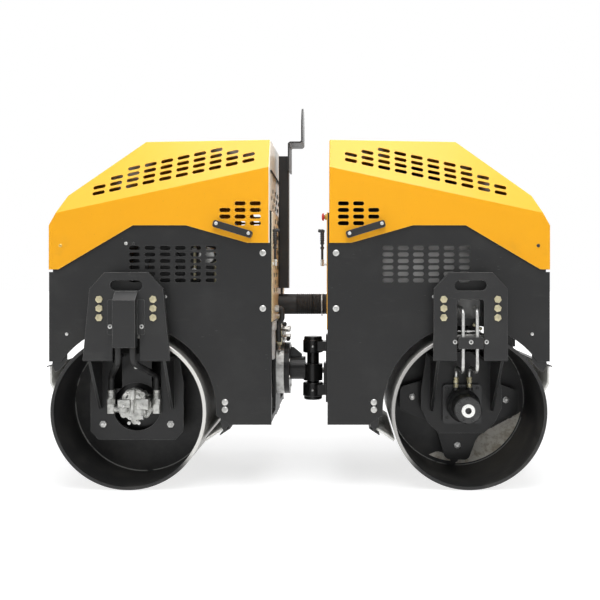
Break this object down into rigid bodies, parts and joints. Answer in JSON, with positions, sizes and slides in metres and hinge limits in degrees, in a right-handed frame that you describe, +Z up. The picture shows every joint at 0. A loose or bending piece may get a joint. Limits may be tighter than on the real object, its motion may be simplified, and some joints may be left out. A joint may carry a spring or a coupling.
{
  "type": "road roller",
  "caption": "Compact articulated road roller: two smooth drums in thick brackets under slotted side panels and tilting hoods, joined by a steering and oscillating pivot.",
  "frame": {"origin": "on the ground, under the middle of the machine", "axes": "+X towards the tank half along the machine, +Y to the far side of the view, +Z up"},
  "size_m": [1.848, 0.826, 1.4368],
  "materials": {
    "yellow_paint": "satin yellow enamel",
    "black_paint": "satin black powder coat",
    "drum_steel": "bare rolled steel, worn bright at the rims",
    "dark_steel": "dark grey paint",
    "zinc": "zinc plated",
    "rubber": "moulded black rubber",
    "blade": "pale cast plastic",
    "tank_plastic": "pale moulded plastic",
    "engine_metal": "painted castings"
  },
  "bodies": {
    "engine_frame": {"engine_side_panels": "black_paint", "engine_drum_brackets": "black_paint", "engine_line_guards": "black_paint", "engine_drive_motor": "engine_metal", "engine_drive_pipes": "zinc", "engine_vibration_mount": "dark_steel", "engine_vibration_motor": "zinc", "engine_vibration_hoses": "rubber", "engine_scraper_holders": "black_paint", "engine_scraper_blades": "blade", "engine_chassis": "black_paint", "engine_inner_cover": "yellow_paint", "engine_block": "engine_metal", "oil_filter": "tank_plastic", "oscillation_bearing": "zinc", "signal_mast": "black_paint", "hydraulic_fittings": "zinc", "engine_hose_sleeve": "rubber"},
    "engine_drum": {"engine_drum_shell": "drum_steel", "engine_drum_spider": "dark_steel", "engine_drum_buffers": "rubber"},
    "engine_hood": {"engine_hood_shell": "yellow_paint", "engine_hood_handles": "black_paint"},
    "tank_frame": {"tank_side_panels": "black_paint", "tank_drum_brackets": "black_paint", "tank_line_guards": "black_paint", "tank_drive_motor": "engine_metal", "tank_drive_pipes": "zinc", "tank_vibration_mount": "dark_steel", "tank_vibration_motor": "zinc", "tank_vibration_hoses": "rubber", "tank_scraper_holders": "black_paint", "tank_scraper_blades": "blade", "tank_chassis": "black_paint", "tank_inner_cover": "yellow_paint", "water_tank": "tank_plastic", "steering_yoke": "black_paint", "tank_hose_sleeve": "rubber"},
    "tank_drum": {"tank_drum_shell": "drum_steel", "tank_drum_spider": "dark_steel", "tank_drum_buffers": "rubber"},
    "tank_hood": {"tank_hood_shell": "yellow_paint", "tank_hood_handles": "black_paint"},
    "knuckle": {"steering_knuckle": "black_paint"},
    "cylinder_barrel": {"steering_barrel": "black_paint"},
    "cylinder_rod": {"steering_rod": "zinc"}
  },
  "joints": [
    {"name": "oscillate", "type": "hinge", "parent": "engine_frame", "child": "knuckle", "pos_m": [-0.088, 0, 0.401], "axis": [1, 0, 0], "range_deg": [-8, 8], "deforming": ["engine_hose_sleeve"]},
    {"name": "steer", "type": "hinge", "parent": "knuckle", "child": "tank_frame", "pos_m": [0.038, 0, 0.401], "axis": [0, 0, 1], "range_deg": [-28, 28], "deforming": ["tank_hose_sleeve"]},
    {"name": "engine_drum_spin", "type": "hinge", "parent": "engine_frame", "child": "engine_drum", "pos_m": [-0.613, 0, 0.28], "axis": [0, 1, 0], "continuous": true},
    {"name": "tank_drum_spin", "type": "hinge", "parent": "tank_frame", "child": "tank_drum", "pos_m": [0.613, 0, 0.28], "axis": [0, 1, 0], "continuous": true},
    {"name": "engine_hood_open", "type": "hinge", "parent": "engine_frame", "child": "engine_hood", "pos_m": [-0.906, 0, 0.795], "axis": [0, -1, 0], "range_deg": [0, 55]},
    {"name": "tank_hood_open", "type": "hinge", "parent": "tank_frame", "child": "tank_hood", "pos_m": [0.906, 0, 0.795], "axis": [0, 1, 0], "range_deg": [0, 55]},
    {"name": "cylinder_swing", "type": "hinge", "parent": "tank_frame", "child": "cylinder_barrel", "pos_m": [0.225, 0.076, 0.382], "axis": [0, 0, 1], "range_deg": [-4, 4]},
    {"name": "cylinder_stroke", "type": "slide", "parent": "cylinder_barrel", "child": "cylinder_rod", "axis": [-1, -0.0086, 0], "range_m": [-0.0393, 0.0393]}
  ],
  "couplings": [
    {"joint": "cylinder_swing", "follows": "steer", "ratio": -0.0784},
    {"joint": "cylinder_stroke", "follows": "steer", "m_per_rad": -0.0784}
  ]
}
